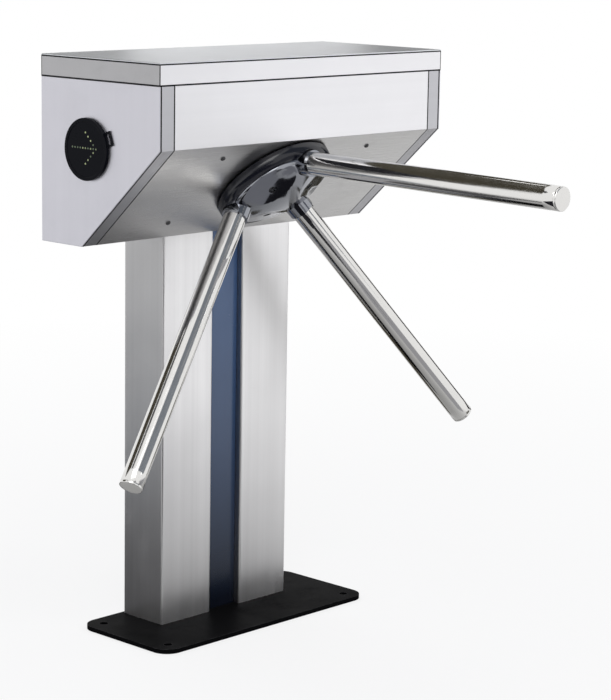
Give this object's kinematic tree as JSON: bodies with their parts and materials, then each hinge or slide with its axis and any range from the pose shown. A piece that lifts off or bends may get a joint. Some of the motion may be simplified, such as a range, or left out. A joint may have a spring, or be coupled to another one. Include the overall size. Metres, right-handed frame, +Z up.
{
  "type": "tripod turnstile",
  "caption": "Waist-high arm turnstile: a sheet-steel cabinet on a bolted-down column, with a sloping panel that carries a turning hub and straight barrier arms.",
  "frame": {"origin": "on the floor, at the centre of the base plate's anchor holes", "axes": "+Z up; X along the cabinet and the walking direction; the passage is on the -Y side"},
  "size_m": [0.8298, 0.8148, 0.98],
  "materials": {
    "base_coat": "satin black powder coat",
    "post_steel": "brushed, vertical grain",
    "recess_paint": "dark navy paint",
    "cabinet_steel": "brushed, grain along the cabinet",
    "front_steel": "pale brushed steel",
    "slope_steel": "brushed steel",
    "end_steel": "brushed steel",
    "lid_steel": "brushed steel",
    "black_rubber": "matte black",
    "zinc_plate": "zinc plated",
    "bolt_steel": "bright bolts",
    "black_screws": "blackened screws",
    "bearing_steel": "ground steel",
    "gear_steel": "cut steel",
    "pawl_brass": "machined brass",
    "polished_steel": "mirror-polished stainless steel",
    "ring_gloss": "gloss black",
    "sign_plastic": "gloss black moulding",
    "lamp_lens": "pale lamp lens",
    "board_green": "circuit board",
    "dark_casing": "dark casing",
    "supply_casing": "folded casing"
  },
  "bodies": {
    "root": {"base_plate": "base_coat", "left_post": "post_steel", "right_post": "post_steel", "front_recess_panel": "recess_paint", "rear_recess_panel": "recess_paint", "head_plates": "zinc_plate", "column_bolts": "bolt_steel", "cabinet_floor": "cabinet_steel", "back_panel": "cabinet_steel", "front_panel": "front_steel", "slope_panel": "slope_steel", "slope_screws": "black_screws", "left_cheek": "cabinet_steel", "right_cheek": "cabinet_steel", "left_end_plate": "end_steel", "right_end_plate": "end_steel", "cabinet_seals": "black_rubber", "lid_gasket": "black_rubber", "mechanism_ribs": "zinc_plate", "hinge_fixed_leaves": "zinc_plate", "hinge_pins": "zinc_plate", "lock_housing": "zinc_plate", "sign_bezels": "sign_plastic", "sign_lamps": "lamp_lens", "sign_boards": "board_green", "chassis_plate": "zinc_plate", "chassis_bolts": "bolt_steel", "bearing_housing": "zinc_plate", "bearing_outer_rings": "bearing_steel", "lock_plate": "zinc_plate", "lock_plate_spacers": "pawl_brass", "solenoids": "dark_casing", "return_springs": "bearing_steel", "damper_body": "dark_casing", "pawl_pins": "bearing_steel", "control_board": "board_green", "power_supply": "supply_casing"},
    "rotor": {"main_shaft": "bearing_steel", "shaft_fasteners": "bolt_steel", "ratchet_wheel": "gear_steel", "main_gear": "gear_steel", "hub_carrier": "zinc_plate", "hub_ring": "ring_gloss", "hub_head": "polished_steel", "hub_screws": "black_screws", "arm_tubes": "polished_steel", "arm_end_caps": "polished_steel", "arm_bolts": "bolt_steel", "bearing_inner_rings": "bearing_steel", "bearing_balls": "bearing_steel"},
    "lid": {"lid_rim": "cabinet_steel", "lid_top": "lid_steel", "lid_trim": "black_rubber", "hinge_lid_leaves": "zinc_plate"},
    "lock_barrel": {"lock_barrel": "polished_steel"},
    "damper_pinion": {"damper_pinion": "pawl_brass"},
    "left_plunger": {"left_plunger": "bearing_steel"},
    "right_plunger": {"right_plunger": "bearing_steel"},
    "left_pawl": {"left_pawl": "pawl_brass"},
    "right_pawl": {"right_pawl": "pawl_brass"}
  },
  "joints": [
    {"name": "hub_turn", "type": "hinge", "parent": "root", "child": "rotor", "pos_m": [0, -0.09882, 0.77144], "axis": [0, -0.6756, -0.7373], "continuous": true},
    {"name": "damper_turn", "type": "hinge", "parent": "root", "child": "damper_pinion", "pos_m": [0, -0.05148, 0.72807], "axis": [0, -0.6756, -0.7373], "continuous": true},
    {"name": "right_solenoid_pull", "type": "slide", "parent": "root", "child": "right_plunger", "axis": [1, 0, 0], "range_m": [0, 0.005], "stiffness_N_per_m": 800, "springref_m": -0.003, "deforming": ["return_springs"]},
    {"name": "left_solenoid_pull", "type": "slide", "parent": "root", "child": "left_plunger", "axis": [-1, 0, 0], "range_m": [0, 0.005], "stiffness_N_per_m": 800, "springref_m": -0.003, "deforming": ["return_springs"]},
    {"name": "right_pawl_swing", "type": "hinge", "parent": "root", "child": "right_pawl", "pos_m": [0.054, -0.0649, 0.74037], "axis": [0, -0.6756, -0.7373], "range_deg": [0, 9]},
    {"name": "left_pawl_swing", "type": "hinge", "parent": "root", "child": "left_pawl", "pos_m": [-0.054, -0.0649, 0.74037], "axis": [0, 0.6756, 0.7373], "range_deg": [0, 9]},
    {"name": "lid_hinge", "type": "hinge", "parent": "root", "child": "lid", "pos_m": [0, 0.1068, 0.945], "axis": [-1, 0, 0], "range_deg": [0, 100]},
    {"name": "lid_lock", "type": "hinge", "parent": "root", "child": "lock_barrel", "pos_m": [0.33, -0.098, 0.902], "axis": [-1, 0, 0], "range_deg": [0, 90]}
  ],
  "couplings": [
    {"joint": "damper_turn", "follows": "hub_turn", "ratio": -3},
    {"joint": "right_pawl_swing", "follows": "right_solenoid_pull", "rad_per_m": 30.993},
    {"joint": "left_pawl_swing", "follows": "left_solenoid_pull", "rad_per_m": 30.993}
  ]
}
